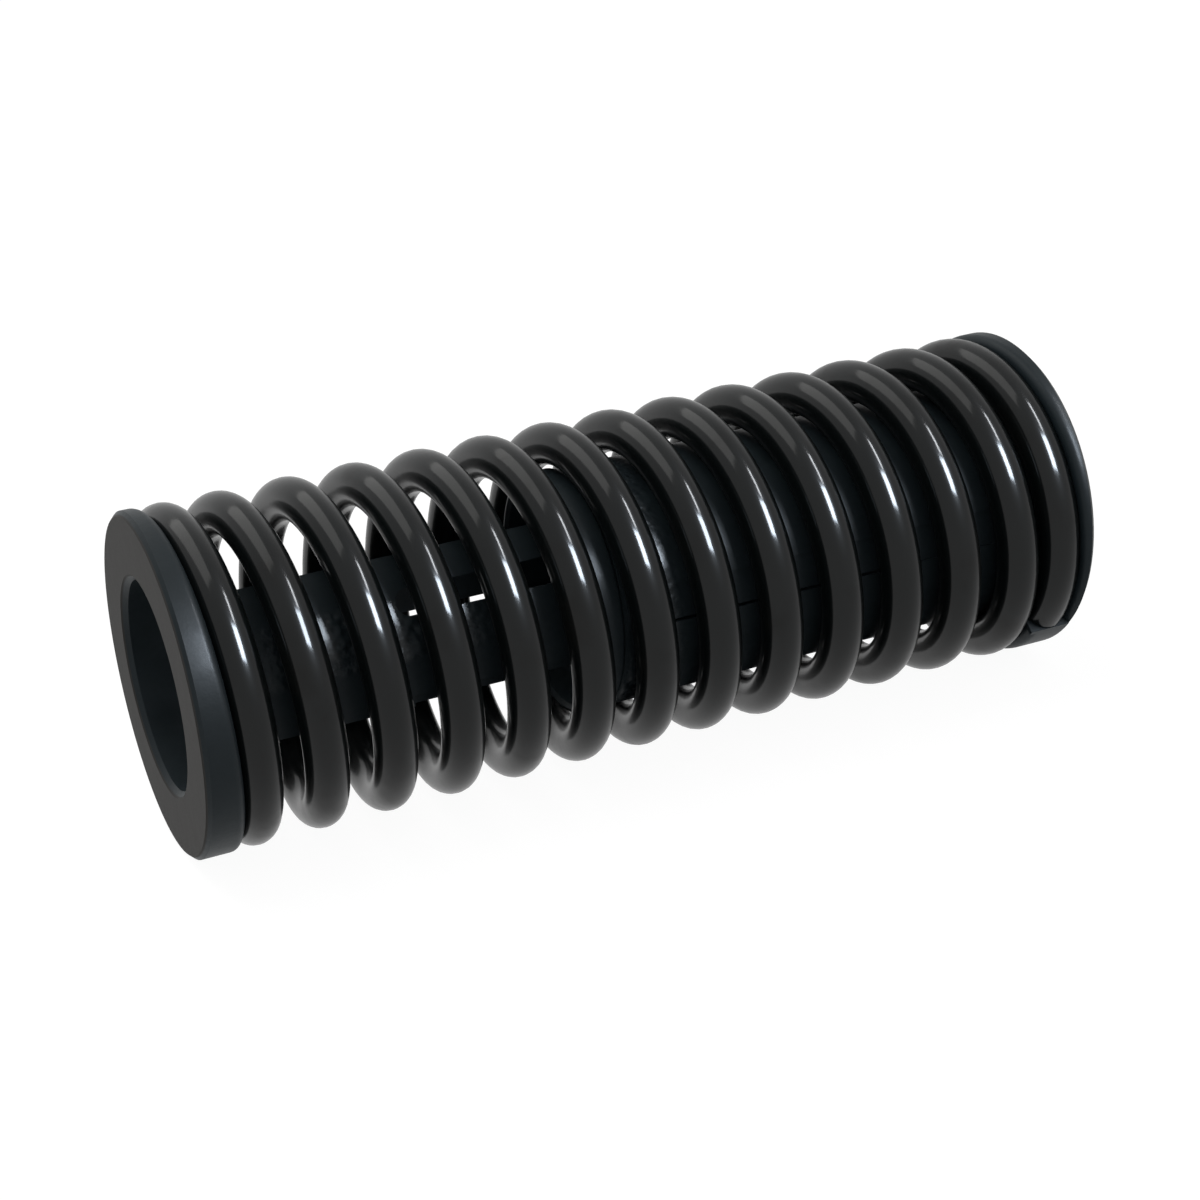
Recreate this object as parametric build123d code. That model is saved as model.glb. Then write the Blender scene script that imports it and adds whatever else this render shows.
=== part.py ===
from build123d import *
from math import cos, degrees, radians, sin
import os

# Die spring with a telescoping liner, millimetres, +Z up, standing on its lower flange.
# Three separate pieces share the Z axis:
#   sleeve_guide  moulded lower liner: seat flange, thin sleeve, collar round its mouth
#   finger_guide  moulded upper liner: seat flange, hub, two slotted fingers that run in the sleeve
#   coil_spring   round wire compression spring, closed ends lying on the two helical seats
# Angles are in degrees about Z, measured in each guide's own frame, whose face lies on Z = 0.
# The finger guide is modelled face down, like the sleeve guide, and turned over at the end.

# Whole product
free_length = 156.0
stroke = 40.0  # how far the two guides telescope

# Spring
coil_outer_d = 56.0
wire_d = 7.0
spring_turns = 13.75
closed_arc = 300.0  # degrees of touching coil at each end
pitch_blend = 40.0  # degrees on each side of the change of pitch
lower_tip_angle = -130.0

# Seat flange, the same on both guides
seat_floor = 1.0  # plastic left under the tip of the wire
seat_lip = 0.3  # how far the seat wraps up the wire
seat_gap = 0.1
rim_round = 1.5
face_bevel = 0.8
bore_chamfer = 1.0
tip_gap_angle = 2.0
hub_gap = 0.6  # between the hub and the inside of the coil
hub_height = 12.0
hub_chamfer = 0.6

# Fingers
finger_wall = 1.6
rod_relief = 0.4  # how far the fingers stand back from the guide rod's bore
finger_centre = 67.0
finger_arc = 78.0
finger_tip_gap = 0.2  # left over the lower hub at the full stroke
finger_tip_chamfer = 0.8
slot_width = 4.4
slot_start = 36.0
slot_land = 15.8  # finger left beyond the slot
front_slot_offset = 4.3
rear_slot_offset = 0.0
rail_start = 36.5
rail_width = 2.2
rail_depth = 0.9

# Sleeve
running_gap = 0.08
sleeve_wall = 1.02
collar_step = 0.4
collar_gap = 0.5  # between the collar and the inside of the coil
collar_height = 4.5
collar_round = 0.7
mouth_chamfer = 0.6
pad_raise = 0.3
pad_arc = 82.0
pad_start = 14.0
pad_end_gap = 4.0  # plain sleeve between a pad and the collar
strip_raise = 0.12
strip_from = 7.0
strip_to = 24.0
slit_width = 0.5
slit_length = 44.0
slit_end_gap = 6.0

# Travel stops, one in each slot
stop_side_gap = 0.25
stop_end_gap = 0.2
stop_length = 4.8
stop_inset = 1.6
stop_depth = 11.0  # from a stop to the foot of the collar

# How far one shape runs into another that it joins or cuts
overlap = 0.4
overcut = 1.0

# Worked out from the values above, across the axis from the outside in
flange_r = coil_outer_d / 2
wire_r = wire_d / 2
coil_r = flange_r - wire_r
coil_inner_r = flange_r - wire_d
hub_r = coil_inner_r - hub_gap
collar_r = coil_inner_r - collar_gap
sleeve_r = collar_r - collar_step
sleeve_bore_r = sleeve_r - sleeve_wall
finger_r = sleeve_bore_r - running_gap
finger_inner_r = finger_r - finger_wall
bore_r = finger_inner_r - rod_relief

# Worked out along the axis
total_arc = spring_turns * 360
upper_tip_angle = lower_tip_angle + total_arc
first_height = seat_floor + wire_r
rise = free_length - 2 * first_height
open_arc = total_arc - 2 * closed_arc
open_pitch = (rise - 2 * wire_d * closed_arc / 360) / (open_arc / 360)
seat_top = seat_floor + wire_d + seat_lip
finger_reach = free_length - hub_height - stroke - finger_tip_gap
slot_end = finger_reach - slot_land
stop_start = free_length - slot_end + stop_end_gap
stop_end = stop_start + stop_length
sleeve_height = stop_end + stop_depth


def tube(outer, inner, low, high):
    """A plain ring about Z."""
    ring = Circle(outer) - Circle(inner)
    return extrude(Pos(0, 0, low) * ring, high - low)


def sector(centre, arc, low, high):
    """A wedge about Z that reaches past the flange, for cutting or keeping part of a ring."""
    far = 1.5 * flange_r
    corners = [(0, 0)]
    for share in (0, 0.25, 0.5, 0.75, 1):
        angle = radians(centre + arc * (share - 0.5))
        corners.append((far * cos(angle), far * sin(angle)))
    face = make_face(Polyline(*corners, close=True))
    return extrude(Pos(0, 0, low) * face, high - low)


def beside(centre, offset):
    """The plane that looks along a finger's middle, moved sideways by offset."""
    angle = radians(centre)
    side = Vector(sin(angle), -cos(angle), 0)
    out = Vector(cos(angle), sin(angle), 0)
    return Plane(origin=side * offset, x_dir=(0, 0, 1), z_dir=out)


def block(left, right, low, high):
    """A rectangle given by its four sides."""
    return Pos((left + right) / 2, (low + high) / 2) * Rectangle(right - left, high - low)


def seat_cut(tip_angle):
    """What the wire's first turn clears from the flange: a groove, a lip and the rim's round edge."""
    outside = flange_r + overcut
    round_low = seat_lip - rim_round
    space = block(hub_r - overlap, outside, seat_lip, seat_top + wire_d)
    groove = Pos(coil_r, wire_r) * Circle(wire_r + seat_gap)
    rim = block(flange_r - rim_round, outside, round_low, seat_lip)
    rim -= Pos(flange_r - rim_round, round_low) * Circle(rim_round)
    profile = Plane.XZ * (space + groove + rim)
    turn = 1 - tip_gap_angle / 360
    path = Helix(pitch=wire_d, height=wire_d * turn, radius=coil_r)
    cut = sweep(profile, path=path, is_frenet=True)
    lead = tip_gap_angle / 2
    return Rot(0, 0, tip_angle - lead) * Pos(0, 0, seat_floor - wire_d * lead / 360) * cut


def seat_flange(tip_angle):
    """Flange with a flat face at Z = 0, a helical seat for the spring, and a hub inside the coil."""
    with BuildLine() as outline:
        Polyline(
            (bore_r + bore_chamfer, 0),
            (flange_r - face_bevel, 0),
            (flange_r, face_bevel),
            (flange_r, seat_top),
            (bore_r, seat_top),
            (bore_r, bore_chamfer),
            close=True,
        )
    blank = revolve(Plane.XZ * make_face(outline.line), Axis.Z)
    hub = tube(hub_r, bore_r, bore_chamfer, hub_height)
    outer_top = hub.edges().group_by(Axis.Z)[-1].sort_by(SortBy.RADIUS)[-1]
    return blank - seat_cut(tip_angle) + chamfer(outer_top, hub_chamfer)


def coil_height(arc):
    """Height of the wire's centre above its lower tip, from the angle that it has turned."""
    if arc > total_arc / 2:
        return rise - coil_height(total_arc - arc)
    gain = open_pitch - wire_d
    into = min(max(arc - (closed_arc - pitch_blend), 0), 2 * pitch_blend)
    beyond = max(arc - (closed_arc + pitch_blend), 0)
    return (wire_d * arc + gain * (into**2 / (4 * pitch_blend) + beyond)) / 360


def coil_spring():
    """Round wire swept along a helix that closes up at both ends."""
    steps = round(spring_turns * 16)
    points = []
    for step in range(steps + 1):
        arc = total_arc * step / steps
        angle = radians(lower_tip_angle + arc)
        points.append((coil_r * cos(angle), coil_r * sin(angle), first_height + coil_height(arc)))
    path = Spline(*points)
    section = Plane(origin=path @ 0, z_dir=path % 0) * Circle(wire_r)
    return sweep(section, path=path, is_frenet=True)


def slot_through(centre, offset, width, start, end):
    """A straight slot with round ends, from the axis out through one finger."""
    middle = Pos((start + end) / 2, 0, 0)
    return extrude(beside(centre, offset) * middle * SlotOverall(end - start, width), flange_r)


def finger_guide():
    """Upper liner, face down: flange, hub and two fingers with a slot and an edge rail each."""
    fingers = tube(finger_r, finger_inner_r, hub_height - overlap, finger_reach)
    for side in (90, 270):
        fingers -= sector(finger_centre + side, 180 - finger_arc, hub_height, finger_reach + overcut)
    tip_edges = fingers.edges().group_by(Axis.Z)[-1].filter_by(GeomType.CIRCLE)
    fingers = chamfer(tip_edges.group_by(SortBy.RADIUS)[-1], finger_tip_chamfer)
    fingers -= slot_through(finger_centre, front_slot_offset, slot_width, slot_start, slot_end)
    fingers -= slot_through(finger_centre + 180, rear_slot_offset, slot_width, slot_start, slot_end)
    rail_end = finger_reach + overcut
    skin = tube(finger_r + overcut, finger_r - rail_depth, rail_start, rail_end)
    inset = (finger_arc - degrees(rail_width / finger_r)) / 2
    for middle in (finger_centre + inset, finger_centre + 180 - inset):
        fingers -= skin & sector(middle, degrees(rail_width / finger_r), rail_start, rail_end)
    return seat_flange(-upper_tip_angle) + fingers


def travel_stop(centre, offset):
    """A lug inside the sleeve that runs in a finger's slot and ends the stroke."""
    lug = slot_through(centre, offset, slot_width - 2 * stop_side_gap, stop_start, stop_end)
    ring = tube(sleeve_bore_r + overlap, sleeve_bore_r - stop_inset, stop_start, stop_end)
    return lug & ring


def collar():
    """Ring round the sleeve's mouth, rounded outside and chamfered inside."""
    ring = tube(collar_r, sleeve_bore_r, sleeve_height, sleeve_height + collar_height)
    outer = ring.edges().filter_by(GeomType.CIRCLE).group_by(SortBy.RADIUS)[-1]
    ring = fillet(outer, collar_round)
    mouth = ring.edges().group_by(Axis.Z)[-1].filter_by(GeomType.CIRCLE).sort_by(SortBy.RADIUS)[0]
    return chamfer(mouth, mouth_chamfer)


def sleeve_guide():
    """Lower liner: flange, sleeve with two raised pads, collar, a slit and the travel stops."""
    sleeve = tube(sleeve_r, sleeve_bore_r, hub_height - overlap, sleeve_height)
    front = -finger_centre
    pad_end = sleeve_height - pad_end_gap
    for side in (0, 180):
        pad = tube(sleeve_r + pad_raise, sleeve_r - overlap, pad_start, pad_end)
        sleeve += pad & sector(front + side, pad_arc, pad_start, pad_end)
        skin = tube(flange_r, sleeve_r + strip_raise, pad_start, pad_end)
        middle = front + side - (strip_from + strip_to) / 2
        sleeve -= skin & sector(middle, strip_to - strip_from, pad_start, pad_end)
    slit_middle = Pos(sleeve_height - slit_end_gap - slit_length / 2, 0, 0)
    slit = slit_middle * Rectangle(slit_length, slit_width)
    sleeve -= extrude(beside(front - strip_to, 0) * slit, flange_r)
    stops = travel_stop(front, -front_slot_offset) + travel_stop(front + 180, rear_slot_offset)
    return seat_flange(lower_tip_angle) + sleeve + collar() + stops


def save(name, shape):
    shape.label = name
    export_step(shape, f"parts/{name}.step")


os.makedirs("parts", exist_ok=True)
turned_over = Pos(0, 0, free_length) * Rot(180, 0, 0)
save("sleeve_guide", sleeve_guide())
save("finger_guide", turned_over * finger_guide())
save("coil_spring", coil_spring())
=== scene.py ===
from math import atan2, cos, hypot, pi, radians, sin

import bpy
from mathutils import Matrix, Vector


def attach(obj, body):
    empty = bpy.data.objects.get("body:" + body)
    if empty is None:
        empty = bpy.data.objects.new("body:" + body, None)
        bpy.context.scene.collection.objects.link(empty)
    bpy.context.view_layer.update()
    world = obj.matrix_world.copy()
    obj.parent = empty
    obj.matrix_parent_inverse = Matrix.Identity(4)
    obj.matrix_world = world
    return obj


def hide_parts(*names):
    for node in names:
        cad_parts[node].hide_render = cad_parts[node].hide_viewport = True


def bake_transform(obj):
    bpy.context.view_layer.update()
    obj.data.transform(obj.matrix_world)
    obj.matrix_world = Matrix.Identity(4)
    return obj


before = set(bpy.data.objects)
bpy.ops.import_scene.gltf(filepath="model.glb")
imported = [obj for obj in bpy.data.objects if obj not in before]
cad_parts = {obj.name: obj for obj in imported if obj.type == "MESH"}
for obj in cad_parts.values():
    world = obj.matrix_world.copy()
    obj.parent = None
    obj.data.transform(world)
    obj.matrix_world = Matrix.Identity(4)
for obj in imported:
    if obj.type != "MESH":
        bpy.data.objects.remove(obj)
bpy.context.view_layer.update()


# Coil spring: one round steel wire, wound right-handed and painted gloss black. Both ends close up
# and lie unground on the helical seats. A circle is carried round the axis, then set to its height.
mm = 0.001
free_length = 156 * mm
wire_r = 3.5 * mm
coil_r = 24.5 * mm
seat_floor = 1 * mm
whole_turn = 2 * pi
turns = 13.75
closed_arc = radians(300)
pitch_blend = radians(40)
lower_tip = radians(-130)
wire_sides = 32
steps_per_turn = 72
spread = 20 * mm  # lift of each turn while the wire is wound, so that its turns stay apart
tip_edge = radians(35)
paint_thin = (0.0034, 0.0046, 0.0048, 1)
paint_rubbed = (0.0056, 0.0060, 0.0058, 1)
paint_flow_size = 9 * mm
paint_grain_size = 0.5 * mm
paint_rub_size = 14 * mm


def deselect_all():
    """Leaves edit mode and clears the selection."""
    if bpy.context.mode != "OBJECT":
        bpy.ops.object.mode_set(mode="OBJECT")
    bpy.ops.object.select_all(action="DESELECT")


def coil_height(arc):
    """How far the wire's centre has risen when it has turned through arc."""
    total_arc = whole_turn * turns
    closed_pitch = 2 * wire_r
    rise = free_length - 2 * (seat_floor + wire_r)
    if arc > total_arc / 2:
        return rise - coil_height(total_arc - arc)
    closed_rise = closed_pitch * closed_arc / pi
    open_pitch = (rise - closed_rise) / ((total_arc - 2 * closed_arc) / whole_turn)
    into = min(max(arc - (closed_arc - pitch_blend), 0), 2 * pitch_blend)
    beyond = max(arc - (closed_arc + pitch_blend), 0)
    gain = (open_pitch - closed_pitch) * (into**2 / (4 * pitch_blend) + beyond)
    return (closed_pitch * arc + gain) / whole_turn


def wind_coil():
    """The wire, as one closed mesh."""
    deselect_all()
    on_edge = (pi / 2, 0, 0)
    bpy.ops.mesh.primitive_circle_add(vertices=wire_sides, radius=wire_r, rotation=on_edge)
    wire = bpy.context.object
    bpy.ops.object.transform_apply(rotation=True)
    bpy.ops.object.mode_set(mode="EDIT")
    bpy.ops.mesh.select_all(action="SELECT")
    bpy.ops.transform.translate(value=(coil_r, 0, 0))
    bpy.ops.object.mode_set(mode="OBJECT")
    bpy.ops.object.transform_apply(location=True)
    winding = wire.modifiers.new("Winding", "SCREW")
    winding.axis = "Z"
    winding.angle = whole_turn * turns
    winding.screw_offset = spread * turns
    winding.steps = winding.render_steps = round(turns * steps_per_turn)
    winding.use_smooth_shade = True
    bpy.ops.object.modifier_apply(modifier=winding.name)
    for point in wire.data.vertices:
        angle = atan2(point.co.y, point.co.x)
        lift = point.co.z / spread * whole_turn
        arc = angle + whole_turn * round((lift - angle) / whole_turn)
        out = hypot(point.co.x, point.co.y)
        point.co.x = out * cos(lower_tip + arc)
        point.co.y = out * sin(lower_tip + arc)
        point.co.z += seat_floor + wire_r + coil_height(arc) - spread * arc / whole_turn
    bpy.ops.object.mode_set(mode="EDIT")
    bpy.ops.mesh.select_all(action="SELECT")
    bpy.ops.mesh.fill_holes(sides=0)
    bpy.ops.mesh.select_all(action="SELECT")
    bpy.ops.mesh.normals_make_consistent(inside=False)
    bpy.ops.object.mode_set(mode="OBJECT")
    bpy.ops.object.shade_smooth_by_angle(angle=tip_edge)
    return wire


class Socket:
    """A shader node's output that Python arithmetic works on."""

    def __init__(self, tree, output=None):
        self.tree = tree
        self.output = output

    def node(self, kind, settings, sockets, output=0):
        """Any node: its type, its settings, and the values or links of its sockets."""
        made = self.tree.nodes.new(kind)
        for name, value in settings.items():
            setattr(made, name, value)
        for name, value in sockets.items():
            if isinstance(value, Socket):
                self.tree.links.new(value.output, made.inputs[name])
            else:
                made.inputs[name].default_value = value
        return Socket(self.tree, made.outputs[output] if made.outputs else None)

    def maths(self, operation, *values):
        return self.node("ShaderNodeMath", {"operation": operation}, dict(enumerate(values)))

    def __add__(self, other):
        return self.maths("ADD", self, other)

    def __sub__(self, other):
        return self.maths("SUBTRACT", self, other)

    def __mul__(self, other):
        return self.maths("MULTIPLY", self, other)

    def __rsub__(self, other):
        return self.maths("SUBTRACT", other, self)

    __radd__ = __add__
    __rmul__ = __mul__

    def step(self, low, high):
        """0 below low, 1 above high, smooth between."""
        limits = {"Value": self, "From Min": low, "From Max": high}
        return self.node("ShaderNodeMapRange", {"interpolation_type": "SMOOTHSTEP"}, limits)

    def blend(self, low, high):
        """A colour that goes from low to high as this value goes from 0 to 1."""
        return self.node("ShaderNodeMix", {"data_type": "RGBA"}, {0: self, 6: low, 7: high}, 2)

    def bumps(self, strength, height):
        """The normal of a surface that this value raises, by height where it is 1."""
        sockets = {"Height": self, "Strength": strength, "Distance": height}
        return self.node("ShaderNodeBump", {}, sockets)


def new_finish(name):
    """An empty material, and the place on the piece that its patterns read."""
    material = bpy.data.materials.new(name)
    material.use_nodes = True
    material.node_tree.nodes.clear()
    tree = Socket(material.node_tree)
    return material, tree.node("ShaderNodeTexCoord", {}, {}, "Object")


def lay_finish(material, place, sockets):
    """Ends a material in its surface shader."""
    surface = place.node("ShaderNodeBsdfPrincipled", {}, sockets)
    place.node("ShaderNodeOutputMaterial", {}, {"Surface": surface})
    return material


def noise(place, size, detail, rough=0.5):
    """Noise whose lumps are about size across."""
    sockets = {"Vector": place, "Scale": 1 / size, "Detail": detail, "Roughness": rough}
    return place.node("ShaderNodeTexNoise", {}, sockets)


def gloss_paint():
    """Stoved gloss black paint with a faint flow and rubbed, duller patches."""
    material, place = new_finish("gloss_black_paint")
    flow = noise(place, paint_flow_size, 2)
    grain = noise(place, paint_grain_size, 3)
    rubbed = noise(place, paint_rub_size, 4, 0.6).step(0.52, 0.72)
    sockets = {
        "Base Color": rubbed.blend(paint_thin, paint_rubbed),
        "Roughness": 0.33 + rubbed * 0.08 + grain * 0.05,
        "Normal": (flow * 0.8 + grain * 0.05).bumps(0.10, 0.3 * mm),
        "Specular IOR Level": 0.03,
        "Coat Weight": 0.40 - rubbed * 0.08,
        "Coat Roughness": 0.13,
    }
    return lay_finish(material, place, sockets)


coil = wind_coil()
coil.name = "painted_coil"
coil.data.materials.append(gloss_paint())
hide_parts("coil_spring")
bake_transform(coil)


# Finger guide: the upper half of the liner, moulded in black plastic. Its flange seats the coil,
# and its two fingers reach down inside it. The front finger has a pebbled patch from the mould.
satin_dark = (0.0085, 0.0125, 0.0150, 1)
satin_light = (0.0185, 0.0260, 0.0300, 1)
# the end faces are coloured a paler, browner grey than the satin sides
pale_end_grey = (0.0340, 0.0330, 0.0315, 1)
face_start = 0.35 * mm  # the dull end face begins this far inside the flange's flat
face_full = 0.15 * mm
plastic_edge = radians(24)
join_gap = 0.002 * mm
cloud_size = 8 * mm
grain_size = 0.35 * mm
pebble_size = 1.3 * mm
pebble_low = 101 * mm
pebble_high = 143 * mm
pebble_fade = 12 * mm
pebble_end = 3 * mm
finger_middle = radians(-66)
pebble_half = radians(17)
pebble_side = radians(5)


def merged_copy(node, name):
    """The solid's own shape with its points joined, so that round faces shade smoothly."""
    deselect_all()
    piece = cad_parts[node].copy()
    piece.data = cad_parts[node].data.copy()
    piece.data.materials.clear()
    for key in list(piece.keys()):
        del piece[key]
    piece.parent = None
    piece.name = name
    bpy.context.scene.collection.objects.link(piece)
    bpy.context.view_layer.objects.active = piece
    piece.select_set(True)
    bpy.ops.object.mode_set(mode="EDIT")
    bpy.ops.mesh.select_all(action="SELECT")
    bpy.ops.mesh.customdata_custom_splitnormals_clear()
    bpy.ops.mesh.remove_doubles(threshold=join_gap)
    bpy.ops.object.mode_set(mode="OBJECT")
    bpy.ops.object.shade_smooth_by_angle(angle=plastic_edge)
    return piece


def moulded_plastic(name, patch):
    """Black moulding: satin sides, dull end faces in a paler, browner grey, and pebbles where patch
    says.
    """
    material, place = new_finish(name)
    x, y, z = (place.node("ShaderNodeSeparateXYZ", {}, {"Vector": place}, side) for side in "XYZ")
    half = free_length / 2
    end_face = place.maths("ABSOLUTE", z - half).step(half - face_start, half - face_full)
    cloud = noise(place, cloud_size, 4, 0.6)
    grain = noise(place, grain_size, 3)
    cells = {"Vector": place, "Scale": 1 / pebble_size}
    pebble = place.node("ShaderNodeTexVoronoi", {"feature": "SMOOTH_F1"}, cells)
    rough = patch(place.maths("ARCTAN2", y, x), z) * cloud.step(0.30, 0.50)
    sockets = {
        "Base Color": end_face.blend(cloud.blend(satin_dark, satin_light), pale_end_grey),
        "Roughness": 0.42 + grain * 0.12 + end_face * 0.25 - rough * 0.06,
        "Normal": (grain * 0.03 + cloud * 0.4 + pebble * rough * 2.4).bumps(0.9, 0.35 * mm),
        "Specular IOR Level": 0.09,
        "Coat Weight": 0.04 + rough * 0.40,
        "Coat Roughness": 0.2,
    }
    return lay_finish(material, place, sockets)


def finger_patch(turn, z):
    """Where the front finger's outside is pebbled."""
    aside = turn.maths("ABSOLUTE", turn - finger_middle)
    above = z.step(pebble_low, pebble_low + pebble_fade)
    height = above * (1 - z.step(pebble_high - pebble_end, pebble_high))
    return height * (1 - aside.step(pebble_half - pebble_side, pebble_half))


finger_piece = merged_copy("finger_guide", "moulded_finger_guide")
finger_piece.data.materials.append(moulded_plastic("finger_plastic", finger_patch))
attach(finger_piece, "upper_liner")
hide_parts("finger_guide")


# Sleeve guide: the lower half of the liner, in the same black plastic. The fingers run inside its
# thin sleeve, which is rough in a band under the collar.
rough_low = 72 * mm
rough_high = 82 * mm
rough_fade = 5 * mm
collar_foot = 84 * mm
sleeve_roughness = 0.7


def sleeve_patch(turn, z):
    """Where the sleeve's outside is rough: a band under the collar, all the way round."""
    above = z.step(rough_low, rough_low + rough_fade)
    return above * (1 - z.step(rough_high, collar_foot)) * sleeve_roughness


sleeve_piece = merged_copy("sleeve_guide", "moulded_sleeve_guide")
sleeve_piece.data.materials.append(moulded_plastic("sleeve_plastic", sleeve_patch))
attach(sleeve_piece, "lower_liner")
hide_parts("sleeve_guide")


# Floor: the spring lies on its side on a pale floor, which is white from above and clear from below.
floor_height = -28.05 * mm
floor_size = 4
floor_glow = 0.95
floor_bounce = (0.5, 0.5, 0.5, 1)
floor_shade = (0.12, 0.12, 0.12, 1)
middle = Vector((0, 0, free_length / 2))


def seen_directly(tree):
    """1 for rays that come from the camera, a reflection or a transparent piece, else 0."""
    camera_ray = tree.node("ShaderNodeLightPath", {}, {}, "Is Camera Ray")
    glossy_ray = tree.node("ShaderNodeLightPath", {}, {}, "Is Glossy Ray")
    through_ray = tree.node("ShaderNodeLightPath", {}, {}, "Is Transmission Ray")
    return tree.maths("MAXIMUM", tree.maths("MAXIMUM", camera_ray, glossy_ray), through_ray)


def pale_floor():
    """White where it is seen, with the object's shadow, and clear from below."""
    material, place = new_finish("pale_floor")
    seen = seen_directly(place)
    sockets = {"Color": (1, 1, 1, 1), "Strength": seen * floor_glow}
    glow = place.node("ShaderNodeEmission", {}, sockets)
    matt = place.node("ShaderNodeBsdfDiffuse", {}, {"Color": seen.blend(floor_bounce, floor_shade)})
    both = place.node("ShaderNodeAddShader", {}, {0: glow, 1: matt})
    clear = place.node("ShaderNodeBsdfTransparent", {}, {})
    below = place.node("ShaderNodeNewGeometry", {}, {}, "Backfacing")
    surface = place.node("ShaderNodeMixShader", {}, {0: below, 1: both, 2: clear})
    place.node("ShaderNodeOutputMaterial", {}, {"Surface": surface})
    return material


deselect_all()
floor_place = (floor_height, 0, free_length / 2)
bpy.ops.mesh.primitive_plane_add(size=floor_size, location=floor_place, rotation=(0, pi / 2, 0))
floor = bpy.context.object
floor.name = "floor"
floor.data.materials.append(pale_floor())


# Light: a soft lamp overhead, and two cool windows that show only as reflections in the gloss.
lamp_distance = 0.70
room_light = 0.52


def softbox(name, towards, width, height, power, colour):
    """A lamp that points at the middle: width goes round the spring, height along it."""
    lamp = bpy.data.lights.new(name, "AREA")
    lamp.shape = "RECTANGLE"
    lamp.size = width
    lamp.size_y = height
    lamp.energy = power
    lamp.color = colour
    holder = bpy.data.objects.new(name, lamp)
    bpy.context.scene.collection.objects.link(holder)
    away = Vector(towards).normalized()
    holder.location = middle + away * lamp_distance
    round_way = Vector((0, 0, 1)).cross(away).normalized()
    turned = Matrix((round_way, away.cross(round_way), away)).transposed()
    holder.rotation_euler = turned.to_euler()
    return holder


softbox("top_light", (0.88, 0.36, 0.28), 0.80, 0.42, 2.1, (1.0, 0.995, 0.97))
window = softbox("window", (0.602, -0.714, -0.352), 0.28, 0.24, 17.0, (0.78, 0.88, 1.0))
small_window = softbox("small_window", (0.812, -0.345, -0.47), 0.24, 0.08, 2.6, (0.92, 0.95, 1.0))
window.visible_diffuse = False
small_window.visible_diffuse = False

world = bpy.data.worlds.new("studio")
bpy.context.scene.world = world
world.use_nodes = True
world.node_tree.nodes.clear()
studio = Socket(world.node_tree)
brightness = room_light + seen_directly(studio) * (1 - room_light)
sockets = {"Color": (1, 1, 1, 1), "Strength": brightness}
room = studio.node("ShaderNodeBackground", {}, sockets)
studio.node("ShaderNodeOutputWorld", {}, {"Surface": room})


# Camera: above the floor and to one side, a little past the finger guide's end, looking across and down.
eye = bpy.data.cameras.new("camera")
eye.sensor_width = 36
eye.lens = 75.75
camera = bpy.data.objects.new("camera", eye)
bpy.context.scene.collection.objects.link(camera)
camera_place = (0.1633, -0.3587, 0.2283)
sight = Vector((-0.394, 0.849, -0.352)).normalized()
upright = Vector((0.917, 0.336, -0.216))
across = sight.cross(upright).normalized()
turned = Matrix((across, across.cross(sight), -sight)).transposed()
camera.matrix_world = Matrix.Translation(camera_place) @ turned.to_4x4()
bpy.context.scene.camera = camera
bpy.context.scene.view_settings.view_transform = "Standard"
